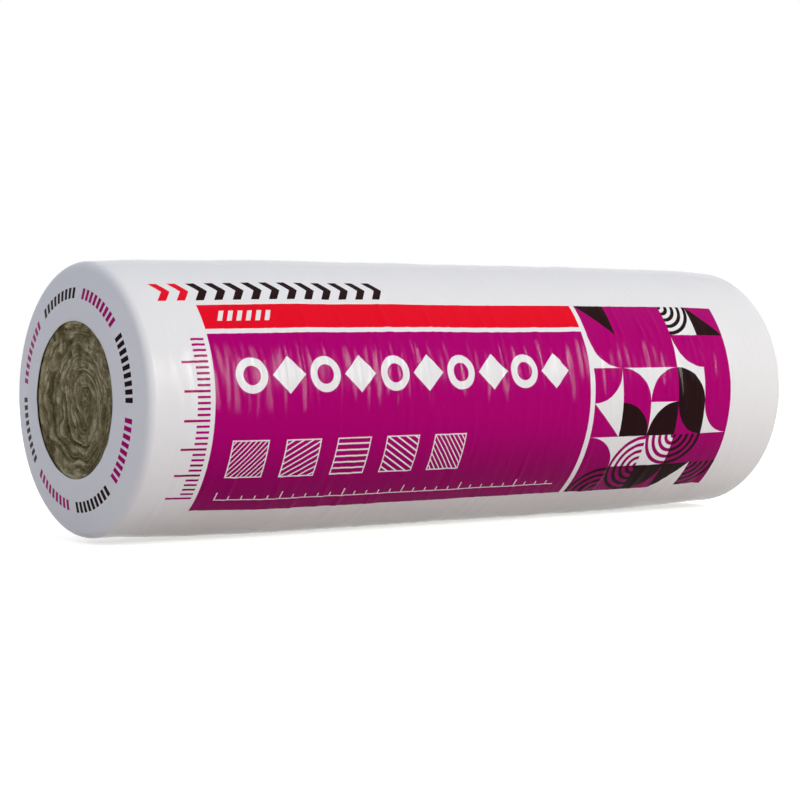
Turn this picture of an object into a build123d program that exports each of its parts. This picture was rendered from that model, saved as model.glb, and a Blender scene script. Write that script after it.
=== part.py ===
from build123d import *
import os

# Film-wrapped roll of mineral wool, lying on its side: +X along the roll, +Z up, origin on the floor
# under the middle of the roll. All sizes are in millimetres.

# Whole roll
roll_length = 1200.0  # over the flat lands of the two ends
roll_diameter = 396.0  # over the film

# Film sleeve, shrunk round the roll and over the edges of both ends
film_thickness = 1.0
opening_diameter = 218.0  # the round opening that the film leaves at each end
land_width = 24.0  # flat ring round each opening, before the end starts to fall back
end_crown = 11.0  # how far the end falls back from its land to its corner
corner_radius = 12.5  # rounding between the end and the side
shoulder_drop = 8.4  # radius lost between the full diameter and the corner
shoulder_length = 230.0  # length of that taper

# Wool mat, wound up inside the film
film_clearance = 0.2  # from the film to the wool
turn_pitch = 25.0  # thickness of the mat as wound
crease_width = 2.6  # gap that shows between two turns
crease_depth = 6.0
eye_radius = 15.0  # where the innermost crease starts

cut_overrun = 5.0  # how far a cutting solid runs past what it cuts

roll_radius = roll_diameter / 2
opening_radius = opening_diameter / 2
half_length = roll_length / 2
wool_inset = film_thickness + film_clearance


def inset_corner(before, corner, after, inset):
    """The corner of two lines that both move to their right by inset, as seen along the outline."""
    first = (corner - before).normalized()
    second = (after - corner).normalized()
    first_normal = Vector(first.Y, -first.X)
    second_normal = Vector(second.Y, -second.X)
    return corner + (first_normal + second_normal) * (inset / (1 + first_normal.dot(second_normal)))


def side_outline(inset):
    """The roll's outline from the opening edge at -X to the one at +X, moved into the roll by inset.

    X is along the roll and Y is the radius. The corner between end and side is rounded.
    """
    land_radius = opening_radius + land_width
    corner_x = half_length - end_crown
    left = [
        Vector(-half_length, opening_radius),
        Vector(-half_length, land_radius),
        Vector(-corner_x, roll_radius - shoulder_drop),
        Vector(-corner_x + shoulder_length, roll_radius),
    ]
    right = [Vector(-point.X, point.Y) for point in reversed(left)]
    outline = left + right
    shift = Vector(inset, 0)
    inner = [inset_corner(*outline[i - 1 : i + 2], inset) for i in range(1, len(outline) - 1)]
    radii = [0, corner_radius - inset, 0]
    return FilletPolyline(outline[0] + shift, *inner, outline[-1] - shift, radius=radii + radii)


def hidden_outline(inset):
    """The same outline with two flats for each rounding, which keeps the faces under the film few."""
    edges = side_outline(inset).edges()
    points = []
    for edge in edges:
        points.append(edge @ 0)
        if edge.geom_type == GeomType.CIRCLE:
            points.append(edge @ 0.5)
    return Polyline(*points, edges[-1] @ 1)


def film_sleeve():
    """The film as one turned skin, open at both ends."""
    inner_x = half_length - film_thickness
    edges = [
        Line((side * half_length, opening_radius), (side * inner_x, opening_radius)) for side in (-1, 1)
    ]
    return revolve(make_face([side_outline(0), hidden_outline(film_thickness), *edges]), axis=Axis.X)


def turn_spiral():
    """The crease between the turns, as half circles about two centres half a pitch apart.

    It starts at the eye of the roll and ends where it passes under the film.
    """
    centre_shift = turn_pitch / 4
    arcs = []
    radius = eye_radius
    while radius + centre_shift < opening_radius:
        odd = len(arcs) % 2
        centre = (centre_shift if odd else -centre_shift, 0)
        arcs.append(CenterArc(centre, radius, 180 if odd else 0, 180))
        radius += turn_pitch / 2
    return trace(arcs, crease_width)


def wool_roll():
    """The wound mat: one turned solid, with the crease between its turns sunk into both ends."""
    end_x = half_length - wool_inset
    core = Polyline((-end_x, opening_radius), (-end_x, 0), (end_x, 0), (end_x, opening_radius))
    roll = revolve(make_face([hidden_outline(wool_inset), core]), axis=Axis.X)
    run = crease_depth + cut_overrun
    for side in (-1, 1):
        spiral = Plane.YZ.offset(side * (end_x - crease_depth)) * turn_spiral()
        roll -= extrude(spiral, amount=side * run)
    return roll


if __name__ == "__main__":
    os.makedirs("parts", exist_ok=True)
    lift = Pos(0, 0, roll_radius)
    for name, piece in (("film_sleeve", film_sleeve()), ("wool_roll", wool_roll())):
        export_step(lift * piece, f"parts/{name}.step")
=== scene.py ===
# Insulation roll lying on its side: printed film shrunk round a wound mat of mineral wool.
# Metres, +X along the roll, the printed front towards -Y, the floor at z = 0.
import math
from types import SimpleNamespace

import bpy
import mathutils
import numpy as np
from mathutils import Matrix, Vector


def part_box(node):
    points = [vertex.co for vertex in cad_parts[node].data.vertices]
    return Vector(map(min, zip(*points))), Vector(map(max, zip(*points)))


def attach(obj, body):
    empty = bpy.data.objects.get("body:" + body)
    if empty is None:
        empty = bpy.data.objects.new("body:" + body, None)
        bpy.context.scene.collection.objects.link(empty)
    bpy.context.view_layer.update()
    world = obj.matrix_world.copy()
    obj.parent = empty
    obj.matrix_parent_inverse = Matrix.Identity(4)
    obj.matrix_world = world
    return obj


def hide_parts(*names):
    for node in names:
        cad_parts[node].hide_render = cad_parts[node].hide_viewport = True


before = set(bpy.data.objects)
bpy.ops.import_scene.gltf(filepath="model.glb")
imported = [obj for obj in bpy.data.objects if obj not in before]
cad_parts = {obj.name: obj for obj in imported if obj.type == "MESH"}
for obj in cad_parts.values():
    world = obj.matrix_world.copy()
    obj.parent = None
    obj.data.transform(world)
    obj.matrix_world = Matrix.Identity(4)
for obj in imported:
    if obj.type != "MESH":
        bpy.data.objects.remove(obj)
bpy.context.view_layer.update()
filmLow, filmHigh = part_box("film_sleeve")
halfLength = filmHigh[0]
rollRadius = (filmHigh[2] - filmLow[2]) / 2
axisHeight = filmLow[2] + rollRadius
openingRadius = 0.109  # of the round opening that the film leaves at each end
fullTurn = 2 * math.pi
print("frame loaded: length", round(2 * halfLength, 3), "diameter", round(2 * rollRadius, 3))


# Random number from 0 to 1 for each lattice point, the same on every run: the point's numbers are
# multiplied by large primes, and their bits are mixed.
def latticeRandom(column, row, seed):
    lowBits = np.uint64(0xFFFFFFFF)
    mixed = (column * 73856093 + row * 19349663 + seed * 83492791).astype(np.uint64) & lowBits
    for shift, factor in ((15, 2246822519), (13, 3266489917), (16, 668265263)):
        mixed = ((mixed ^ (mixed >> np.uint64(shift))) * np.uint64(factor)) & lowBits
    return (mixed >> np.uint64(8)).astype(float) / 2**24


# Smooth noise from -1 to 1: a random height on each point of a unit lattice, eased between the points.
# With wrap it repeats every wrap cells of y, so that it closes round the roll.
def smoothNoise(x, y, seed, wrap=None):
    x, y = np.broadcast_arrays(x, y)
    cellX = np.floor(x).astype(np.int64)
    cellY = np.floor(y).astype(np.int64)
    easeX, easeY = (t**3 * (t * (6 * t - 15) + 10) for t in (x - cellX, y - cellY))

    def height(column, row):
        return 2 * latticeRandom(column, row % wrap if wrap else row, seed) - 1

    near = height(cellX, cellY) * (1 - easeX) + height(cellX + 1, cellY) * easeX
    far = height(cellX, cellY + 1) * (1 - easeX) + height(cellX + 1, cellY + 1) * easeX
    return near * (1 - easeY) + far * easeY


# 0 up to start, 1 from end on, eased between the two
def easeStep(value, start, end):
    t = np.clip((value - start) / (end - start), 0, 1)
    return t * t * (3 - 2 * t)


# Quads of a grid of rows by columns whose columns close round, and whose rows close round too if asked
def gridQuads(rows, columns, closeRows=False):
    row = np.arange(rows if closeRows else rows - 1)[:, None] * columns
    column = np.arange(columns)[None, :]
    nextRow = (row + columns) % (rows * columns)
    nextColumn = (column + 1) % columns
    corners = [row + column, nextRow + column, nextRow + nextColumn, row + nextColumn]
    return np.stack(corners, -1).reshape(-1, 4)


# Mesh of the given points and faces, shaded smooth, on the root body
def addPiece(name, points, faces, material):
    mesh = bpy.data.meshes.new(name)
    mesh.from_pydata(points.reshape(-1, 3), [], faces)
    mesh.polygons.foreach_set("use_smooth", np.ones(len(mesh.polygons), bool))
    mesh.materials.append(material)
    piece = bpy.data.objects.new(name, mesh)
    bpy.context.collection.objects.link(piece)
    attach(piece, "root")
    mesh.calc_loop_triangles()
    print(name, "has", len(mesh.loop_triangles), "triangles")
    return piece


# A number or a vector at each point of a piece, for its material to read
def addValues(piece, name, values, kind="FLOAT", field="value"):
    layer = piece.data.attributes.new(name, kind, "POINT")
    layer.data.foreach_set(field, np.ascontiguousarray(values, np.float32).ravel())


# Shader helpers: a value is a number, a tuple or another node's output
def feed(tree, value, socket):
    if isinstance(value, bpy.types.NodeSocket):
        tree.links.new(value, socket)
    else:
        socket.default_value = value


# Maths nodes of a tree, as a function of an operation and its values
def calcIn(tree):
    def calc(operation, *values):
        node = tree.nodes.new("ShaderNodeMath")
        node.operation = operation
        for value, socket in zip(values, node.inputs):
            feed(tree, value, socket)
        return node.outputs[0]

    return calc


# The colour below where the mask is 0, and the one above where it is 1
def mixColour(tree, mask, below, above):
    node = tree.nodes.new("ShaderNodeMix")
    node.data_type = "RGBA"
    feed(tree, mask, node.inputs[0])
    feed(tree, below, node.inputs[6])
    feed(tree, above, node.inputs[7])
    return node.outputs[2]


# Noise from 0 to 1 at a place, with as many finer layers as detail says
def noiseNode(tree, vector, scale, detail, roughness=0.5):
    node = tree.nodes.new("ShaderNodeTexNoise")
    feed(tree, vector, node.inputs["Vector"])
    feed(tree, scale, node.inputs["Scale"])
    node.inputs["Detail"].default_value = detail
    node.inputs["Roughness"].default_value = roughness
    return node.outputs["Fac"]


# A place, scaled by its own number along each axis
def stretched(tree, vector, scale):
    node = tree.nodes.new("ShaderNodeMapping")
    feed(tree, vector, node.inputs["Vector"])
    node.inputs["Scale"].default_value = scale
    return node.outputs["Vector"]


# Normal tilted as if the surface had this height
def bumpNode(tree, height, distance):
    node = tree.nodes.new("ShaderNodeBump")
    feed(tree, height, node.inputs["Height"])
    node.inputs["Strength"].default_value = 1
    node.inputs["Distance"].default_value = distance
    return node.outputs["Normal"]


# A value carried from one range to another, and held at the ends of it
def rangeNode(tree, value, fromLow, fromHigh, toLow=0, toHigh=1, blend="LINEAR"):
    node = tree.nodes.new("ShaderNodeMapRange")
    node.interpolation_type = blend
    for socket, number in zip(node.inputs, (value, fromLow, fromHigh, toLow, toHigh)):
        feed(tree, number, socket)
    return node.outputs[0]


# Attribute of the piece by its name: Fac for a number, Vector for a vector
def attributeNode(tree, name, output="Fac"):
    node = tree.nodes.new("ShaderNodeAttribute")
    node.attribute_name = name
    return node.outputs[output]


# Place on the object, in metres
def objectPlace(tree):
    return tree.nodes.new("ShaderNodeTexCoord").outputs["Object"]


# New material with its node tree and its shader
def newMaterial(name):
    material = bpy.data.materials.new(name)
    material.use_nodes = True
    return material, material.node_tree, material.node_tree.nodes["Principled BSDF"]


# Printed film: white polyethylene with inks in plain blocks and repeating marks
filmLook = {
    "white": (0.80, 0.80, 0.80, 1),
    "magenta": (0.41, 0.0, 0.155, 1),
    # Magenta with painted shade, for the side where it turns under towards the floor
    "magentaInShade": (0.275, 0.0, 0.112, 1),
    "red": (0.79, 0.004, 0.020, 1),
    "black": (0.020, 0.006, 0.007, 1),
    "roughness": (0.055, 0.085),
    "patchRange": (0.3, 0.7),  # of the noise that carries the roughness from its least to its most
    "shine": 0.02,
    "hoopGrain": (150, 9, 9),
    "glossPatches": (9, 6, 6),
    "grainHeight": 0.0002,
}
# Places of the print: along the roll from the near end, then up the side from the front's middle line
printPlan = {
    "panel": (0.109, 0.770, -0.176, 0.0975),
    "paintedShadeBelow": (-0.03, -0.14),  # where painted shade starts to darken the magenta towards the bottom, and where it is darkest
    "stripe": (0.109, 0.770, 0.105, 0.146),
    "slashes": (0.132, 0.222, 0.118, 0.135),
    "slashPitch": 0.015,
    "slashLean": 0.5,
    "band": (0.138, 0.732),
    "bandMiddle": 0.036,
    "bandPitch": 0.0594,
    "ringRadius": 0.0195,
    "ringStroke": 0.0115,
    "diamondReach": 0.0265,
    "swatches": (0.140, 0.566, -0.112, -0.054),
    "swatchPitch": 0.0852,
    "swatchWidth": 0.058,
    "levelSwatch": 2,  # number of the one whose lines are level
    "hatchPitch": 0.0095,
    "hatchTurn": 0.6,
    "thinLine": 0.0018,
    "hatchLine": 0.0024,
    "ruler": (0.138, 0.742, -0.152, -0.1385),
    "rulerStep": 0.021,
    "longEvery": 5,  # every fifth mark of a ruler or scale is longer
    "tiles": (0.779, 1.070, -0.176, 0.146),
    "tileColumns": 5,
    "tileRows": 6,
    "tileRings": 4.5,
    "tileKinds": (0.3, 0.72),  # chance up to which a tile is split, and from which it has rings
    # Chances: the figure is black up to the first and from the third, the ground white from the second
    "tileInks": (0.3, 0.55, 0.75),
    "inkSpread": 7,  # makes another chance out of the tile's first one
    "scale": (0.062, 0.102, -0.150, 0.096),
    "scaleStep": 0.0082,
    "scaleBar": 0.0035,
    "chevrons": (0.052, 0.432, 0.155, 0.192),
    "chevronPitch": 0.0292,
    "redChevrons": 2,
    "chevronBar": 0.0132,
    "chevronLean": 0.7,
    "dashRing": (0.140, 0.155),
    "dashGroups": 8,
    "dashesPerGroup": 9,
    "groupShare": 0.86,
    "dashShare": 0.62,
    "endDepth": 0.02,
}


# Coordinates on the roll and a few mask operations: along the axis, angle up from the front, arc length
# up the side, and radius from the axis. A mask is 1 inside its shape and 0 outside.
def printKit(tree, place):
    calc = calcIn(tree)
    axes = tree.nodes.new("ShaderNodeSeparateXYZ")
    tree.links.new(place, axes.inputs[0])
    front = calc("MULTIPLY", axes.outputs[1], -1)
    height = calc("SUBTRACT", axes.outputs[2], axisHeight)
    angle = calc("ARCTAN2", height, front)
    along = calc("ADD", axes.outputs[0], halfLength)
    up = calc("MULTIPLY", angle, rollRadius)

    def hypot(a, b):
        return calc("SQRT", calc("ADD", calc("MULTIPLY", a, a), calc("MULTIPLY", b, b)))

    def within(value, low, high):
        return calc("COMPARE", value, (low + high) / 2, (high - low) / 2)

    def both(a, b):
        return calc("MULTIPLY", a, b)

    def box(left, right, bottom, top):
        return both(within(along, left, right), within(up, bottom, top))

    def repeat(value, start, pitch):
        return calc("FLOORED_MODULO", calc("SUBTRACT", value, start), pitch)

    kit = SimpleNamespace(tree=tree, calc=calc, along=along, up=up, angle=angle, hypot=hypot)
    kit.radius = hypot(front, height)
    kit.toEnd = calc("SUBTRACT", halfLength, calc("ABSOLUTE", axes.outputs[0]))
    kit.within, kit.box, kit.repeat, kit.both = within, box, repeat, both
    kit.either = lambda a, b: calc("MAXIMUM", a, b)
    kit.outside = lambda mask: calc("SUBTRACT", 1, mask)
    kit.below = lambda value, limit: calc("LESS_THAN", value, limit)
    kit.mix = lambda mask, a, b: mixColour(tree, mask, a, b)
    # Painted shade: the magenta darkens towards the bottom of the side, as the light falls off there
    shadeBelow = rangeNode(tree, up, *printPlan["paintedShadeBelow"], blend="SMOOTHSTEP")
    kit.magenta = kit.mix(shadeBelow, filmLook["magenta"], filmLook["magentaInShade"])
    return kit


# Red stripe with a row of slanted dashes left white
def stripeMask(kit):
    left, right, bottom, top = printPlan["slashes"]
    pitch = printPlan["slashPitch"]
    rise = kit.calc("SUBTRACT", kit.up, bottom)
    slanted = kit.calc("MULTIPLY_ADD", rise, -printPlan["slashLean"], kit.along)
    dashes = kit.below(kit.repeat(slanted, left, pitch), pitch / 2)
    inRow = kit.both(kit.within(slanted, left, right), kit.within(kit.up, bottom, top))
    return kit.both(kit.box(*printPlan["stripe"]), kit.outside(kit.both(dashes, inRow)))


# Rings and diamonds in turn along the panel
def bandMask(kit):
    start, end = printPlan["band"]
    pitch = printPlan["bandPitch"]
    across = kit.calc("SUBTRACT", kit.repeat(kit.along, start, pitch), pitch / 2)
    rise = kit.calc("SUBTRACT", kit.up, printPlan["bandMiddle"])
    toRing = kit.calc("ABSOLUTE", kit.calc("SUBTRACT", kit.hypot(across, rise), printPlan["ringRadius"]))
    ring = kit.below(toRing, printPlan["ringStroke"] / 2)
    reach = kit.calc("ADD", kit.calc("ABSOLUTE", across), kit.calc("ABSOLUTE", rise))
    diamond = kit.below(reach, printPlan["diamondReach"])
    isRing = kit.below(kit.repeat(kit.along, start, 2 * pitch), pitch)
    marks = kit.either(kit.both(ring, isRing), kit.both(diamond, kit.outside(isRing)))
    return kit.both(marks, kit.within(kit.along, start, end))


# Outlined squares, each hatched at another slant
def swatchMask(kit):
    left, right, bottom, top = printPlan["swatches"]
    pitch, wide, thin = printPlan["swatchPitch"], printPlan["swatchWidth"], printPlan["thinLine"]
    across = kit.repeat(kit.along, left, pitch)
    index = kit.calc("FLOOR", kit.calc("DIVIDE", kit.calc("SUBTRACT", kit.along, left), pitch))
    fromLevel = kit.calc("SUBTRACT", index, printPlan["levelSwatch"])
    slant = kit.calc("MULTIPLY", fromLevel, printPlan["hatchTurn"])
    lines = kit.calc("MULTIPLY_ADD", across, slant, kit.up)
    lines = kit.below(kit.repeat(lines, bottom, printPlan["hatchPitch"]), printPlan["hatchLine"])
    core = kit.both(kit.within(across, thin, wide - thin), kit.within(kit.up, bottom + thin, top - thin))
    square = kit.both(kit.box(left, right, bottom, top), kit.within(across, 0, wide))
    return kit.both(square, kit.either(kit.outside(core), lines))


# Ruled line with short ticks and a longer one every fifth
def rulerMask(kit):
    left, right, bottom, top = printPlan["ruler"]
    step, thin = printPlan["rulerStep"], printPlan["thinLine"]
    short = kit.below(kit.repeat(kit.along, left, step), thin)
    long = kit.below(kit.repeat(kit.along, left, step * printPlan["longEvery"]), thin)
    marks = kit.both(short, kit.within(kit.up, bottom, (bottom + top) / 2))
    marks = kit.either(marks, kit.both(long, kit.within(kit.up, bottom, top)))
    marks = kit.either(marks, kit.within(kit.up, bottom - thin, bottom))
    return kit.both(marks, kit.within(kit.along, left, right))


# Tiles: quarter discs, split squares and quarter rings, turned and coloured by random numbers
def tileColour(kit):
    calc, tree = kit.calc, kit.tree
    left, right, bottom, top = printPlan["tiles"]
    across = calc("DIVIDE", calc("SUBTRACT", kit.along, left), (right - left) / printPlan["tileColumns"])
    rise = calc("DIVIDE", calc("SUBTRACT", kit.up, bottom), (top - bottom) / printPlan["tileRows"])
    cell = tree.nodes.new("ShaderNodeCombineXYZ")
    feed(tree, calc("FLOOR", across), cell.inputs[0])
    feed(tree, calc("FLOOR", rise), cell.inputs[1])
    chance = tree.nodes.new("ShaderNodeTexWhiteNoise")
    chance.noise_dimensions = "3D"
    tree.links.new(cell.outputs[0], chance.inputs["Vector"])
    chances = tree.nodes.new("ShaderNodeSeparateColor")
    tree.links.new(chance.outputs["Color"], chances.inputs[0])
    turnX = calc("GREATER_THAN", chances.outputs[0], 0.5)
    turnY = calc("GREATER_THAN", chances.outputs[1], 0.5)
    inX = calc("ABSOLUTE", calc("SUBTRACT", calc("FRACT", across), turnX))
    inY = calc("ABSOLUTE", calc("SUBTRACT", calc("FRACT", rise), turnY))
    reach = kit.hypot(inX, inY)
    disc = kit.below(reach, 1)
    rings = kit.both(disc, kit.below(calc("FRACT", calc("MULTIPLY", reach, printPlan["tileRings"])), 0.5))
    split = kit.below(calc("ADD", inX, inY), 1)
    kind = chances.outputs[2]
    splitTo, ringsFrom = printPlan["tileKinds"]
    shape = kit.mix(kit.below(kind, splitTo), disc, split)
    shape = kit.mix(calc("GREATER_THAN", kind, ringsFrom), shape, rings)
    swap = calc("FRACT", calc("MULTIPLY", chance.outputs["Value"], printPlan["inkSpread"]))
    blackTo, whiteFrom, blackFrom = printPlan["tileInks"]
    ground = kit.mix(calc("GREATER_THAN", swap, whiteFrom), kit.magenta, filmLook["white"])
    figure = kit.mix(calc("GREATER_THAN", swap, blackTo), filmLook["black"], kit.magenta)
    figure = kit.mix(calc("GREATER_THAN", swap, blackFrom), figure, filmLook["black"])
    return kit.mix(shape, ground, figure)


# Bars up the side like a scale, every fifth one longer
def scaleMask(kit):
    left, right, bottom, top = printPlan["scale"]
    step, bar = printPlan["scaleStep"], printPlan["scaleBar"]
    short = kit.below(kit.repeat(kit.up, bottom, step), bar)
    long = kit.below(kit.repeat(kit.up, bottom, step * printPlan["longEvery"]), bar)
    bars = kit.both(short, kit.within(kit.along, (left + right) / 2, right))
    bars = kit.either(bars, kit.both(long, kit.within(kit.along, left, right)))
    return kit.both(bars, kit.within(kit.up, bottom, top))


# Row of chevrons, and the place of the red ones, which come first
def chevronMasks(kit):
    left, right, bottom, top = printPlan["chevrons"]
    pitch = printPlan["chevronPitch"]
    start = left + pitch / 2
    toMiddle = kit.calc("ABSOLUTE", kit.calc("SUBTRACT", kit.up, (bottom + top) / 2))
    bent = kit.calc("MULTIPLY_ADD", toMiddle, printPlan["chevronLean"], kit.along)
    inRow = kit.both(kit.within(bent, start, right), kit.within(kit.up, bottom, top))
    chevron = kit.below(kit.repeat(bent, start, pitch), printPlan["chevronBar"])
    return kit.both(chevron, inRow), kit.below(bent, start + pitch * printPlan["redChevrons"])


# Dashes round each end, in groups, and which groups are odd
def dashMasks(kit):
    group = kit.calc("MULTIPLY", kit.calc("ADD", kit.angle, math.pi), printPlan["dashGroups"] / fullTurn)
    inGroup = kit.calc("FRACT", group)
    share = printPlan["groupShare"]
    dash = kit.calc("FRACT", kit.calc("MULTIPLY", inGroup, printPlan["dashesPerGroup"] / share))
    dash = kit.both(kit.below(dash, printPlan["dashShare"]), kit.below(inGroup, share))
    dash = kit.both(dash, kit.within(kit.radius, *printPlan["dashRing"]))
    odd = kit.calc("GREATER_THAN", kit.calc("FLOORED_MODULO", group, 2), 1)
    return kit.both(dash, kit.below(kit.toEnd, printPlan["endDepth"])), odd


# Film: the inks go over the white one after another, each by its mask
def filmMaterial():
    material, tree, shader = newMaterial("printedFilm")
    place = objectPlace(tree)
    kit = printKit(tree, place)
    inks = filmLook
    # The magenta here, in the tiles and in the scale darkens towards the bottom by painted shade
    colour = kit.mix(kit.box(*printPlan["panel"]), inks["white"], kit.magenta)
    colour = kit.mix(stripeMask(kit), colour, inks["red"])
    whites = kit.either(kit.either(bandMask(kit), swatchMask(kit)), rulerMask(kit))
    colour = kit.mix(whites, colour, inks["white"])
    colour = kit.mix(kit.box(*printPlan["tiles"]), colour, tileColour(kit))
    colour = kit.mix(scaleMask(kit), colour, kit.magenta)
    chevrons, red = chevronMasks(kit)
    colour = kit.mix(chevrons, colour, kit.mix(red, inks["black"], inks["red"]))
    dashes, odd = dashMasks(kit)
    colour = kit.mix(dashes, colour, kit.mix(odd, inks["black"], inks["magenta"]))
    tree.links.new(colour, shader.inputs["Base Color"])

    # Fine hoop grain, and gloss that varies in soft patches
    spread = stretched(tree, place, inks["glossPatches"])
    patches = noiseNode(tree, spread, scale=1, detail=3, roughness=0.6)
    roughness = rangeNode(tree, patches, *inks["patchRange"], *inks["roughness"])
    tree.links.new(roughness, shader.inputs["Roughness"])
    shader.inputs["Specular IOR Level"].default_value = inks["shine"]
    grain = noiseNode(tree, stretched(tree, place, inks["hoopGrain"]), scale=1, detail=2)
    tree.links.new(bumpNode(tree, grain, inks["grainHeight"]), shader.inputs["Normal"])
    return material


# Mineral wool: brown-grey fibres, with painted shade down in the creases and a painted shadow of the film's
# edge at the rim
woolLook = {
    "dark": (0.104, 0.082, 0.031, 1),
    "middle": (0.270, 0.227, 0.112, 1),
    "pale": (0.51, 0.452, 0.274, 1),
    # Colour of the painted shade in the creases and of the painted shadow under the film's edge
    "crease": (0.045, 0.035, 0.013, 1),
    "darkToMiddle": (0.34, 0.52),  # tones between which one colour turns into the next
    "middleToPale": (0.52, 0.70),
    "fineScale": 4.3,  # of the fine noise against the coarse one
    "fineShare": 0.45,
    "strandGrain": (55, 400, 1),
    "strandShare": 0.30,
    "bumpHeight": 0.0016,
    "roughness": 0.95,
    "shine": 0.1,
}
fibreLook = {
    "grain": 90,
    "paler": 0.06,
    "roughness": 0.8,
    "shine": 0.2,
}


# Tone from two layers of noise, a coarse one and a fine one, plus a shift, and the colour at that tone
def woolToneGroup():
    group = bpy.data.node_groups.new("woolTone", "ShaderNodeTree")
    sockets = (
        ("Place", "INPUT", "Vector"),
        ("Scale", "INPUT", "Float"),
        ("Shift", "INPUT", "Float"),
        ("Colour", "OUTPUT", "Color"),
        ("Tone", "OUTPUT", "Float"),
    )
    for name, way, kind in sockets:
        group.interface.new_socket(name, in_out=way, socket_type="NodeSocket" + kind)
    inside = group.nodes.new("NodeGroupInput").outputs
    result = group.nodes.new("NodeGroupOutput").inputs
    calc = calcIn(group)
    fineScale = calc("MULTIPLY", inside["Scale"], woolLook["fineScale"])
    coarse = noiseNode(group, inside["Place"], inside["Scale"], detail=3, roughness=0.6)
    fine = noiseNode(group, inside["Place"], fineScale, detail=3, roughness=0.7)
    share = woolLook["fineShare"]
    tone = calc("MULTIPLY_ADD", fine, share, inside["Shift"])
    tone = calc("ADD", tone, calc("MULTIPLY", coarse, 1 - share))
    middle = rangeNode(group, tone, *woolLook["darkToMiddle"])
    pale = rangeNode(group, tone, *woolLook["middleToPale"])
    colour = mixColour(group, middle, woolLook["dark"], woolLook["middle"])
    colour = mixColour(group, pale, colour, woolLook["pale"])
    group.links.new(colour, result["Colour"])
    group.links.new(tone, result["Tone"])
    return group


# Colour and tone of the wool in a material, from the group
def woolTone(tree, place, scale, shift):
    node = tree.nodes.new("ShaderNodeGroup")
    node.node_tree = bpy.data.node_groups.get("woolTone") or woolToneGroup()
    for value, socket in zip((place, scale, shift), node.inputs):
        feed(tree, value, socket)
    return node.outputs["Colour"], node.outputs["Tone"]


# Wool: strands drawn out along the mat, with painted light where they stand up, painted shade in the
# creases and a painted shadow of the film's edge at the rim
def woolMaterial():
    material, tree, shader = newMaterial("mineralWool")
    strand = stretched(tree, attributeNode(tree, "fibre", "Vector"), woolLook["strandGrain"])
    # The tone shifts the colour: painted light where strands lift, painted shade in the partings, plus
    # random patches
    shift = calcIn(tree)("MULTIPLY", attributeNode(tree, "tone"), woolLook["strandShare"])
    colour, tone = woolTone(tree, strand, 1, shift)
    # Painted shade: the creases and the rim under the film's edge turn dark
    colour = mixColour(tree, attributeNode(tree, "crease"), colour, woolLook["crease"])
    tree.links.new(colour, shader.inputs["Base Color"])
    shader.inputs["Roughness"].default_value = woolLook["roughness"]
    shader.inputs["Specular IOR Level"].default_value = woolLook["shine"]
    tree.links.new(bumpNode(tree, tone, woolLook["bumpHeight"]), shader.inputs["Normal"])
    return material


# Loose fibres: the wool's colours by their place on the roll, a little paler
def fibreMaterial():
    material, tree, shader = newMaterial("looseFibres")
    colour = woolTone(tree, objectPlace(tree), fibreLook["grain"], fibreLook["paler"])[0]
    tree.links.new(colour, shader.inputs["Base Color"])
    shader.inputs["Roughness"].default_value = fibreLook["roughness"]
    shader.inputs["Specular IOR Level"].default_value = fibreLook["shine"]
    return material


# Film piece. Its profile follows the end ring, the corner, the shoulder and the side.
filmShape = {
    "landWidth": 0.024,
    "crown": 0.011,
    "shoulderDrop": 0.0084,
    "shoulderLength": 0.23,
    "blends": (0.18, 0.0125, 2.5),  # radii at the ring, the corner and the shoulder
    "arcPoints": 60,
    "thickness": 0.0009,
    "columns": 90,
    # Zones of the rows from the edge inwards, the last one up to the middle: end and step
    "zones": ((0.070, 0.0034), (0.092, 0.0012), (0.106, 0.0018), (None, 0.0012)),
    "innerRows": 26,
    "lumps": (0.0009, 0.17, 7, 3),  # height, size along, cells round, seed
    "lumpsOnEnds": 0.3,
    "dents": (0.0006, 0.055, 19, 4),
    "mouth": (0.0006, 0.014, 46, 5),  # height, reach from the edge, cells round, seed
    # Height of the fuller top, its middle and reach from the edge, its angle and the reach of that
    "fullTop": (0.0030, 0.145, 0.07, 1.45, 0.6),
    "foldTip": 0.4,  # width of a fold at its tips, against that at its middle
    "foldStart": (0.085, 0.135),
    "tightReach": (0.12, 0.42),  # how far in from the ends the film is tighter
    "settle": 0.0006,  # how far the film between the folds lies under its profile
    "sag": 0.0012,
    "sagBelow": 0.82,
    "sagFrom": (0.17, 0.19),
}
# Folds: pitch along, cells round, half length in cells, half width, far side's share of it, steepness,
# lean, angle up the front where they are sharpest with its reach and the share elsewhere, share near the
# ends, and seed. First the front's broad and fine folds, then those low on the front and at the back.
filmFolds = (
    {"pitch": 0.0135, "cells": 15, "reach": (0.40, 0.85), "width": (0.0042, 0.0085), "steepSide": 0.45,
     "slope": (0.06, 0.27), "lean": (-0.20, 0.04), "around": (0.23, 0.34, 0.15), "nearEnds": 0.55,
     "seed": 100},
    {"pitch": 0.010, "cells": 19, "reach": (0.25, 0.6), "width": (0.0020, 0.0036), "steepSide": 1.0,
     "slope": (-0.12, 0.22), "lean": (-0.26, 0.02), "around": (0.23, 0.34, 0.15), "nearEnds": 0.55,
     "seed": 200},
    {"pitch": 0.019, "cells": 11, "reach": (0.30, 0.75), "width": (0.004, 0.009), "steepSide": 0.6,
     "slope": (-0.08, 0.17), "lean": (-0.10, 0.16), "around": (-0.72, 0.40, 0.0), "nearEnds": 1.0,
     "seed": 300},
    {"pitch": 0.016, "cells": 13, "reach": (0.35, 0.80), "width": (0.004, 0.009), "steepSide": 0.6,
     "slope": (-0.08, 0.24), "lean": (-0.16, 0.12), "around": (math.pi, 0.85, 0.0), "nearEnds": 0.6,
     "seed": 400},
)
steepest = math.sqrt(2) * math.exp(-0.5)  # largest slope of a bell curve of height 1 and half width 1


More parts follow.
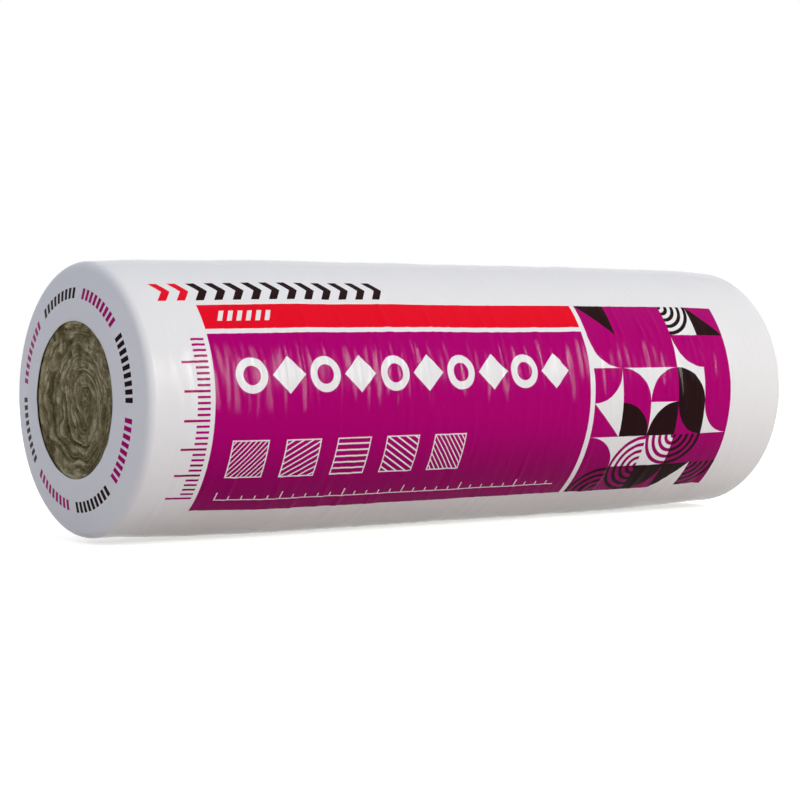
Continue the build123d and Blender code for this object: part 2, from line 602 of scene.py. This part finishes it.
# Straight runs joined by tangent arcs, as closely spaced points of (along, radius)
def roundedPath(corners, radii):
    corners = np.array(corners)
    pieces = [corners[:1]]
    for before, corner, after, radius in zip(corners, corners[1:], corners[2:], radii):
        inward = (before - corner) / np.linalg.norm(before - corner)
        outward = (after - corner) / np.linalg.norm(after - corner)
        half = math.acos(np.clip(inward @ outward, -1, 1)) / 2
        middle = inward + outward
        centre = corner + middle / np.linalg.norm(middle) * radius / math.sin(half)
        first = corner + inward * radius / math.tan(half) - centre
        across = outward - (outward @ first) / (first @ first) * first
        across = across / np.linalg.norm(across) * radius
        sweep = np.linspace(0, math.pi - 2 * half, filmShape["arcPoints"])[:, None]
        pieces.append(centre + np.cos(sweep) * first + np.sin(sweep) * across)
    return np.concatenate(pieces + [corners[-1:]])


# Section of the film from one opening to the other: flat ring, crowned end, rounded corner, shoulder and
# side, and the same mirrored; with the length run up at each of its points
def filmProfile():
    shape = filmShape
    left = [
        (-halfLength, openingRadius),
        (-halfLength, openingRadius + shape["landWidth"]),
        (-halfLength + shape["crown"], rollRadius - shape["shoulderDrop"]),
        (-halfLength + shape["crown"] + shape["shoulderLength"], rollRadius),
    ]
    corners = left + [(-along, radius) for along, radius in reversed(left)]
    path = roundedPath(corners, shape["blends"] + shape["blends"][::-1])
    length = np.concatenate([[0], np.cumsum(np.linalg.norm(np.diff(path, axis=0), axis=1))])
    return path, length


# Point and outward normal of the profile at each given length along it
def onProfile(path, length, at):
    nudge = 0.0004
    point, ahead, behind = (
        np.stack([np.interp(at + shift, length, path[:, axis]) for axis in (0, 1)], -1)
        for shift in (0, nudge, -nudge)
    )
    run = ahead - behind
    run /= np.linalg.norm(run, axis=1)[:, None]
    return point, np.stack([-run[:, 1], run[:, 0]], -1)


# Height of many short folds, one to each cell of a grid whose columns are shifted at random round the
# roll. Across, a fold is a bell curve, narrower on its far side; along itself it swells and thins out as
# 1 minus the square of the place along it.
def foldField(along, turns, look):
    cells, seed, tip = look["cells"], look["seed"], filmShape["foldTip"]
    cellLength = fullTurn * rollRadius / cells

    def between(limits, chance):
        return limits[0] + (limits[1] - limits[0]) * chance

    total = 0
    for nextColumn in (-1, 0, 1):
        column = np.floor(along / look["pitch"]).astype(np.int64) + nextColumn
        rise = turns * cells + cells * latticeRandom(column, column * 0, seed)
        for nextRow in (-1, 0, 1):
            row = np.floor(rise).astype(np.int64) + nextRow
            chances = [latticeRandom(column, row % cells, seed + i) for i in range(1, 7)]
            offset = rise - row - chances[0]
            swell = np.clip(1 - (offset / between(look["reach"], chances[1])) ** 2, 0, None)
            middle = (column + chances[2]) * look["pitch"]
            middle = middle + between(look["lean"], chances[3]) * offset * cellLength
            width = between(look["width"], chances[4])
            across = (along - middle) / (width * (tip + (1 - tip) * swell))
            bell = np.exp(-(np.where(across > 0, across / look["steepSide"], across) ** 2))
            total = total + between(look["slope"], chances[5]) * width / steepest * swell * bell
    return total


# Height of the film above its profile: slow lumps and dents of the wool behind it, a fuller top near the
# ends, folds drawn out round the roll, and puckers at the edge of each opening.
def filmRelief(along, angle, fromEdge, folded):
    shape = filmShape
    turns = angle / fullTurn + 0.5
    onSide = easeStep(fromEdge, *shape["foldStart"])
    height, size, cells, seed = shape["lumps"]
    share = shape["lumpsOnEnds"] + (1 - shape["lumpsOnEnds"]) * onSide
    relief = height * smoothNoise(along / size, turns * cells, seed, cells) * share
    height, reach, cells, seed = shape["mouth"]
    relief += height * smoothNoise(along * 0, turns * cells, seed, cells) * np.exp(-fromEdge / reach)
    height, middle, reach, top, spread = shape["fullTop"]
    relief += height * np.exp(-(((fromEdge - middle) / reach) ** 2) - ((angle - top) / spread) ** 2)
    if folded:
        height, size, cells, seed = shape["dents"]
        relief += height * smoothNoise(along / size, turns * cells, seed, cells) * onSide
        inner = easeStep(fromEdge, *shape["tightReach"])
        for look in filmFolds:
            middle, reach, calm = look["around"]
            fromMiddle = (angle - middle + math.pi) % fullTurn - math.pi
            sharp = calm + (1 - calm) * np.exp(-((fromMiddle / reach) ** 2))
            slack = look["nearEnds"] + (1 - look["nearEnds"]) * inner
            relief += foldField(along, turns, look) * onSide * slack * sharp
    return relief - shape["settle"] * onSide


# Points of the film or of what lies under it: the profile turned round the axis, pushed out by its relief,
# slack underneath, and never below the floor
def filmPoints(point, normal, angle, relief):
    along = point[:, :1] + normal[:, :1] * relief
    radius = point[:, 1:] + normal[:, 1:] * relief
    slack = easeStep(-np.sin(angle), filmShape["sagBelow"], 1) * filmShape["sag"]
    radius = radius + slack * easeStep(radius, *filmShape["sagFrom"])
    up = np.maximum(axisHeight + radius * np.sin(angle), 0)
    return np.stack(np.broadcast_arrays(along, -radius * np.cos(angle), up), -1)


# Film as one closed skin: rows of its outside from end to end, then rows of its inside back again, which
# crowd towards the ends as the cosine does
def makeFilm():
    shape = filmShape
    path, length = filmProfile()
    total = length[-1]
    half = []
    start = 0
    for end, step in shape["zones"]:
        half.append(np.arange(start, end or total / 2, step))
        start = end
    half = np.concatenate(half)
    rows = np.concatenate([half, total - half[::-1]])
    angle = np.linspace(-math.pi, math.pi, shape["columns"], endpoint=False)[None, :]
    point, normal = onProfile(path, length, rows)
    fromEdge = np.minimum(rows, total - rows)[:, None]
    outside = filmPoints(point, normal, angle, filmRelief(point[:, :1], angle, fromEdge, True))
    rows = total * (0.5 + 0.5 * np.cos(np.linspace(0, math.pi, shape["innerRows"])))
    point, normal = onProfile(path, length, rows)
    fromEdge = np.minimum(rows, total - rows)[:, None]
    relief = filmRelief(point[:, :1], angle, fromEdge, False) - shape["thickness"]
    points = np.concatenate([outside, filmPoints(point, normal, angle, relief)])
    faces = gridQuads(len(points), shape["columns"], closeRows=True)
    piece = addPiece("filmWrap", points, faces, filmMaterial())
    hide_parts("film_sleeve")


# Wool piece. Its ends show the turns of the mat.
woolShape = {
    "inset": 0.0032,  # from the film's outside to the wool under it
    "sink": 0.0034,
    "dish": 0.003,
    "pitch": 0.025,
    "firstCrease": 0.00875,
    "eyeShift": (-0.018, -0.004),  # how far the eye of the roll lies from the axis
    "eyeReach": (0.010, 0.105),  # radii up to which the turns follow the eye, and from which they don't
    # Creases open in stretches: least share, length of a stretch, noise at which they are shut and open
    "creaseOpen": (0.15, 0.06, -0.15, 0.2),
    "warps": ((0.0095, 0.055), (0.0046, 0.022)),  # how far and over what length the turns wander
    "creaseDepth": 0.0055,
    "creaseWidth": 0.0015,
    "crown": (0.0011, 2.2),  # fall of each turn towards its creases, and the power it goes by
    "patches": (0.6, 0.030),  # strength and size of paler and darker parts
    "lamellae": (0.0017, 0.034, 3.4),  # height, length along the mat, number across it
    "partings": (2.2, 0.65),  # how steeply the lamellae rise from their partings, and how deep those lie
    "strands": (0.0009, 0.017, 9),
    "clumps": ((0.0011, 0.012), (0.0006, 0.0055)),  # height and size
    "closest": 0.0013,  # to the end plane
    "columns": 360,
    "endRows": 112,
    "shownRadius": 0.114,
    "fade": (0.098, 0.1075),
    # Radii over which the film's edge casts its painted shadow on the wool
    "rimShade": (0.1085, 0.1105),
    "sideRows": 10,
    "cornerStops": (0.012, 0.06, 0.075, 0.083, 0.09, 0.1),
}
woolEnds = {-1: 31, 1: 71}  # direction of each end along X, and the seed of its wool
# What each noise adds to the seed of its end
woolSeeds = {
    "warpY": 0,
    "warpZ": 5,
    "lamellae": 10,
    "strands": 11,
    "clumps": 20,
    "open": 30,
    "patches": 1042,
}


# Place in the wound mat: across it from 0 to 1, and its length from the eye of the roll. The place first
# wanders by two layers of noise and moves with the eye. A crease is then where the radius is firstCrease
# plus as many pitches as there are turns and shares of a turn.
def inMat(y, z, seed):
    shape = woolShape
    warpY, warpZ = 0, 0
    for layer, (reach, size) in enumerate(shape["warps"]):
        warpY = warpY + reach * smoothNoise(y / size, z / size, seed + woolSeeds["warpY"] + layer)
        warpZ = warpZ + reach * smoothNoise(y / size, z / size, seed + woolSeeds["warpZ"] + layer)
    offCentre = 1 - easeStep(np.hypot(y, z), *shape["eyeReach"])
    y = y + warpY - shape["eyeShift"][0] * offCentre
    z = z + warpZ - shape["eyeShift"][1] * offCentre
    turn = np.arctan2(z, y) / fullTurn
    wound = (np.hypot(y, z) - shape["firstCrease"]) / shape["pitch"] - turn
    index = np.floor(wound)
    turned = index + turn
    length = fullTurn * (shape["firstCrease"] * turned + shape["pitch"] * np.maximum(turned, 0) ** 2 / 2)
    return wound - index, length


# How far the wool stands behind the end plane of the roll, with the values that its colour needs: the
# painted shade of creases and the painted shadow of the film's edge on the rim, a tone of painted light
# from the lift of strands together with random patches, and the place in the mat. The lift is least in the
# partings of the lamellae, where a noise drawn out along the mat passes through 0.
def woolEnd(y, z, seed):
    shape = woolShape
    across, length = inMat(y, z, seed)
    radius = np.hypot(y, z)
    toCrease = np.minimum(across, 1 - across) * shape["pitch"]
    clear = easeStep(toCrease, 0, 2 * shape["creaseWidth"])
    height, size, number = shape["lamellae"]
    steepness, low = shape["partings"]
    fromParting = np.abs(smoothNoise(length / size, across * number, seed + woolSeeds["lamellae"]))
    lift = height * clear * (steepness * fromParting - low)
    height, size, number = shape["strands"]
    lift = lift + height * clear * smoothNoise(length / size, across * number, seed + woolSeeds["strands"])
    for layer, (height, size) in enumerate(shape["clumps"]):
        lift = lift + height * smoothNoise(y / size, z / size, seed + woolSeeds["clumps"] + layer)
    least, size, shut, wide = shape["creaseOpen"]
    stretch = easeStep(smoothNoise(length / size, 0, seed + woolSeeds["open"]), shut, wide)
    # The crease curve sets both how deep the crease sinks and how much painted shade it gets
    crease = (least + (1 - least) * stretch) * np.exp(-((toCrease / shape["creaseWidth"]) ** 2))
    height, power = shape["crown"]
    crown = height * np.abs(2 * across - 1) ** power
    dish = shape["dish"] * (1 - np.clip(radius / openingRadius, 0, 1) ** 2)
    shown = 1 - easeStep(radius, *shape["fade"])
    sunk = shape["sink"] + dish + crown - lift + shape["creaseDepth"] * crease
    depth = np.maximum(shape["inset"] + shown * sunk, shape["closest"])
    highest = shape["lamellae"][0] + shape["strands"][0]
    strength, size = shape["patches"]
    patches = smoothNoise(y / size + 0.5, z / size + 0.5, seed + woolSeeds["patches"])
    # Tone: painted light where the strands lift and painted shade in the partings, plus random paler and
    # darker patches
    tone = lift / highest + strength * patches
    inMatPlace = np.stack([length, across * shape["pitch"], 0 * length], -1)
    # Painted shade in the creases, and a painted shadow of the film's edge at the rim
    shade = np.maximum(crease * shown, easeStep(radius, *shape["rimShade"]))
    return depth, shade, tone, inMatPlace


# Wool as one closed surface: rings of the near end from its eye outwards, rings along the side just under
# the film, and rings of the far end inwards, with a fan of triangles at each eye
def makeWool():
    shape = woolShape
    columns = shape["columns"]
    angle = np.linspace(-math.pi, math.pi, columns, endpoint=False)[None, :]
    radius = np.linspace(0, shape["shownRadius"], shape["endRows"])[1:, None]
    y, z = -radius * np.cos(angle), radius * np.sin(angle)
    path, length = filmProfile()
    stops = np.array(shape["cornerStops"])
    between = np.linspace(stops[-1], length[-1] - stops[-1], shape["sideRows"])[1:-1]
    point, normal = onProfile(path, length, np.concatenate([stops, between, length[-1] - stops[::-1]]))
    side = filmPoints(point, normal, angle, np.full(angle.shape, -shape["inset"]))
    plain = np.zeros(side.shape[:2])
    values = []
    for direction, seed in woolEnds.items():
        depth, shade, tone, inMatPlace = woolEnd(y, z, seed)
        points = np.stack([direction * (halfLength - depth), y, z + axisHeight], -1)
        values.append((points, shade, tone, inMatPlace))
    near, far = values
    middle = (side, plain, plain, side)
    joined = [np.concatenate([a, b, c[::-1]]) for a, b, c in zip(near, middle, far)]
    rows, shade, tone, inMatPlace = joined
    count = len(rows) * columns
    eyes = [[end[0][0, :, 0].mean(), 0, axisHeight] for end in (near, far)]
    points = np.concatenate([rows.reshape(-1, 3), eyes])
    around = np.arange(columns)
    after = (around + 1) % columns
    last = count - columns
    nearFan = np.stack([np.full(columns, count), around, after], -1)
    farFan = np.stack([np.full(columns, count + 1), last + after, last + around], -1)
    faces = gridQuads(len(rows), columns).tolist() + nearFan.tolist() + farFan.tolist()
    piece = addPiece("woolRoll", points, faces, woolMaterial())
    # Painted shade of creases and rim, and the tone with its painted light, for the material to read
    addValues(piece, "crease", np.append(shade, [0, 0]))
    addValues(piece, "tone", np.append(tone, [0, 0]))
    fibre = np.concatenate([inMatPlace.reshape(-1, 3), np.zeros((2, 3))])
    addValues(piece, "fibre", fibre, "FLOAT_VECTOR", "vector")
    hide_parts("wool_roll")


# Loose fibres on the wool's ends: thin three-sided strands, pointed at both ends
fibreShape = {
    "count": 5200,
    "within": 0.104,
    "edge": 0.107,
    "length": (0.006, 0.024),
    "width": (0.00010, 0.00026),
    "lift": 0.0014,
    "closest": 0.0008,
    "spread": 0.5,
    "bend": 0.8,
    "wave": 0.35,
    "stations": 6,
    "tip": 0.02,  # share of the length at which the width of a tip is taken
    "seeds": {-1: 51, 1: 52},
}


# Each fibre's line turns steadily and wavers as it runs, is pulled in where it would leave the opening, and
# lies on the wool half smoothed out. Its width swells as the root of a sine.
def makeFibres(name, direction):
    shape = fibreShape
    draw = np.random.default_rng(shape["seeds"][direction])
    count, stations = shape["count"], shape["stations"]
    radius = shape["within"] * np.sqrt(draw.random((count, 1)))
    angle = draw.uniform(-math.pi, math.pi, (count, 1))
    y, z = -radius * np.cos(angle), radius * np.sin(angle)
    t = np.linspace(0, 1, stations)[None, :]
    heading = np.arctan2(z, y) + math.pi / 2 + draw.normal(0, shape["spread"], (count, 1))
    heading = heading + draw.normal(0, shape["bend"], (count, 1)) * (t - 0.5)
    heading = heading + shape["wave"] * np.sin(fullTurn * (t + draw.random((count, 1))))
    step = draw.uniform(*shape["length"], (count, 1)) / (stations - 1)
    runY, runZ = np.cumsum(step * np.cos(heading), 1), np.cumsum(step * np.sin(heading), 1)
    lineY = y + runY - runY.mean(1, keepdims=True)
    lineZ = z + runZ - runZ.mean(1, keepdims=True)
    pull = shape["edge"] / np.maximum(np.hypot(lineY, lineZ), shape["edge"])
    lineY, lineZ = lineY * pull, lineZ * pull
    depth = woolEnd(lineY, lineZ, woolEnds[direction])[0]
    depth = (depth + depth.mean(1, keepdims=True)) / 2
    lift = shape["lift"] * draw.random((count, 1)) * np.sin(math.pi * t)
    lineX = direction * (halfLength - np.maximum(depth - lift, shape["closest"]))
    swell = np.sqrt(np.sin(math.pi * np.clip(t, shape["tip"], 1 - shape["tip"])))
    width = draw.uniform(*shape["width"], (count, 1)) * swell
    corner = np.arange(3) * fullTurn / 3
    outX = width[..., None] * np.cos(corner) * direction
    outAcross = width[..., None] * np.sin(corner)
    ringX = lineX[..., None] + outX
    ringY = lineY[..., None] - outAcross * np.sin(heading)[..., None]
    ringZ = lineZ[..., None] + outAcross * np.cos(heading)[..., None]
    points = np.stack([ringX, ringY, ringZ + axisHeight], -1)
    quads = gridQuads(stations, 3)
    tips = np.array([[0, 1, 2], [3 * stations - 1, 3 * stations - 2, 3 * stations - 3]])
    if direction < 0:  # there the rings run the other way round
        quads, tips = quads[:, ::-1], tips[:, ::-1]
    first = np.arange(count)[:, None, None] * 3 * stations
    faces = (quads + first).reshape(-1, 4).tolist() + (tips + first).reshape(-1, 3).tolist()
    material = bpy.data.materials.get("looseFibres") or fibreMaterial()
    addPiece(name, points, faces, material)


makeFilm()
makeWool()
makeFibres("woolFibresNear", -1)
makeFibres("woolFibresFar", 1)

# Floor, light and camera
stageLook = {
    "floorSize": 14.0,
    "floor": (0.78, 0.735, 0.70, 1),
    "floorGlow": 0.65,
    "roughness": 0.9,
    "white": (1, 1, 1, 1),
    "ambient": (0.443, 0.473, 0.577, 1),
    "flag": (1.5, -0.27, 0.37, 1.1),  # half width, place in front of the axis, lower and upper edge
}
# Soft boxes: heading round the roll from the front, height above the horizon, distance, width, height,
# radiance, colour, and whether they light surfaces or show in gloss
softBoxes = {
    "keyBox": (23, 24, 6.0, 2.0, 2.6, 7.9, (1, 0.945, 0.81), "surface"),
    "glossBox": (35, 18, 30.0, 7.4, 15.0, 10, (1, 0.98, 0.95), "gloss"),
    "glossLow": (17.5, 4, 30.0, 9.5, 17.5, 64, (1, 0.98, 0.95), "gloss"),
    "glossHigh": (22, 24, 30.0, 9.5, 17.5, 95, (1, 0.98, 0.95), "gloss"),
    "fillBox": (-15, 28, 5.0, 2.4, 2.0, 1.52, (1, 0.99, 0.95), "surface"),
    "topBox": (-12, 66, 4.0, 2.9, 2.0, 0.95, (1, 0.92, 0.70), "surface"),
    "backBox": (142, 14, 5.0, 2.6, 1.8, 5.8, (1, 0.93, 0.77), "surface"),
}
cameraPlan = {
    "lens": 100.0,
    "sensor": 36,
    "target": (-0.0416, 0.0, 0.1876),
    "heading": -36.62,
    "height": 1.834,
    "distance": 3.385,
}


# Point at a heading from the front, a height above the horizon and a distance, seen from a target
def fromHeading(heading, height, distance, target):
    turn, rise = math.radians(heading), math.radians(height)
    away = (math.sin(turn) * math.cos(rise), -math.cos(turn) * math.cos(rise), math.sin(rise))
    return mathutils.Vector(target) + distance * mathutils.Vector(away)


# A lamp or camera put at a place and turned to its target
def aim(thing, place, target):
    thing.location = place
    thing.rotation_euler = (mathutils.Vector(target) - place).to_track_quat("-Z", "Y").to_euler()
    bpy.context.collection.objects.link(thing)


# 1 for rays from the camera, in reflections and through glass, 0 for the light that falls on things
def seenDirectly(tree):
    path = tree.nodes.new("ShaderNodeLightPath")
    calc = calcIn(tree)
    seen = calc("MAXIMUM", path.outputs["Is Camera Ray"], path.outputs["Is Glossy Ray"])
    return calc("MAXIMUM", seen, path.outputs["Is Transmission Ray"])


# Lamp that fades out towards its edges: the sine of pi times the place across, times the same up it
def fadeEdges(lamp):
    lamp.use_nodes = True
    tree = lamp.node_tree
    calc = calcIn(tree)
    axes = tree.nodes.new("ShaderNodeSeparateXYZ")
    tree.links.new(tree.nodes.new("ShaderNodeNewGeometry").outputs["Parametric"], axes.inputs[0])
    across, up = (calc("SINE", calc("MULTIPLY", axes.outputs[i], math.pi)) for i in (0, 1))
    tree.links.new(calc("MULTIPLY", across, up), tree.nodes["Emission"].inputs["Strength"])


# Flat card of the stage, seen by the camera or only in gloss
def stageCard(name, corners, shader, material, inGloss):
    mesh = bpy.data.meshes.new(name)
    mesh.from_pydata(corners, [], [(0, 1, 2, 3)])
    mesh.materials.append(material)
    card = bpy.data.objects.new(name, mesh)
    bpy.context.collection.objects.link(card)
    card.visible_glossy = inGloss
    card.visible_camera = card.visible_diffuse = card.visible_shadow = not inGloss
    shader.inputs["Roughness"].default_value = stageLook["roughness"]
    shader.inputs["Specular IOR Level"].default_value = 0
    shader.inputs["Emission Color"].default_value = stageLook["white"]


# Floor, flag, surroundings and soft boxes
def makeStage():
    size = stageLook["floorSize"] / 2
    material, tree, shader = newMaterial("paleFloor")
    shader.inputs["Base Color"].default_value = stageLook["floor"]
    glow = calcIn(tree)("MULTIPLY", seenDirectly(tree), stageLook["floorGlow"])
    tree.links.new(glow, shader.inputs["Emission Strength"])
    corners = [(-size, -size, 0), (size, -size, 0), (size, size, 0), (-size, size, 0)]
    stageCard("floor", corners, shader, material, False)

    # A flag keeps the gloss boxes off the roll's top, where a low view would show them as a glare
    size, front, low, high = stageLook["flag"]
    material, _, shader = newMaterial("whiteFlag")
    shader.inputs["Base Color"].default_value = (0, 0, 0, 1)
    shader.inputs["Emission Strength"].default_value = 1
    corners = [(-size, front, low), (size, front, low), (size, front, high), (-size, front, high)]
    stageCard("glossFlag", corners, shader, material, True)

    world = bpy.data.worlds.new("studio")
    bpy.context.scene.world = world
    world.use_nodes = True
    tree = world.node_tree
    colour = mixColour(tree, seenDirectly(tree), stageLook["ambient"], stageLook["white"])
    tree.links.new(colour, tree.nodes["Background"].inputs["Color"])

    middle = (0, 0, axisHeight)
    for name, (heading, height, distance, wide, high, radiance, colour, use) in softBoxes.items():
        lamp = bpy.data.lights.new(name, "AREA")
        lamp.shape = "RECTANGLE"
        lamp.size, lamp.size_y = wide, high
        lamp.energy = radiance * math.pi * wide * high
        lamp.color = colour
        if use == "gloss":
            fadeEdges(lamp)
        holder = bpy.data.objects.new(name, lamp)
        holder.visible_diffuse = use == "surface"
        holder.visible_glossy = use == "gloss"
        aim(holder, fromHeading(heading, height, distance, middle), middle)
    print("stage set with", len(softBoxes), "soft boxes")


# Camera of the photo, which looks a little down at the near end and the front
def makeCamera():
    plan = cameraPlan
    camera = bpy.data.cameras.new("camera")
    camera.lens = plan["lens"]
    camera.sensor_width = plan["sensor"]
    holder = bpy.data.objects.new("camera", camera)
    place = fromHeading(plan["heading"], plan["height"], plan["distance"], plan["target"])
    aim(holder, place, plan["target"])
    bpy.context.scene.camera = holder


makeStage()
makeCamera()
bpy.context.scene.view_settings.view_transform = "Standard"
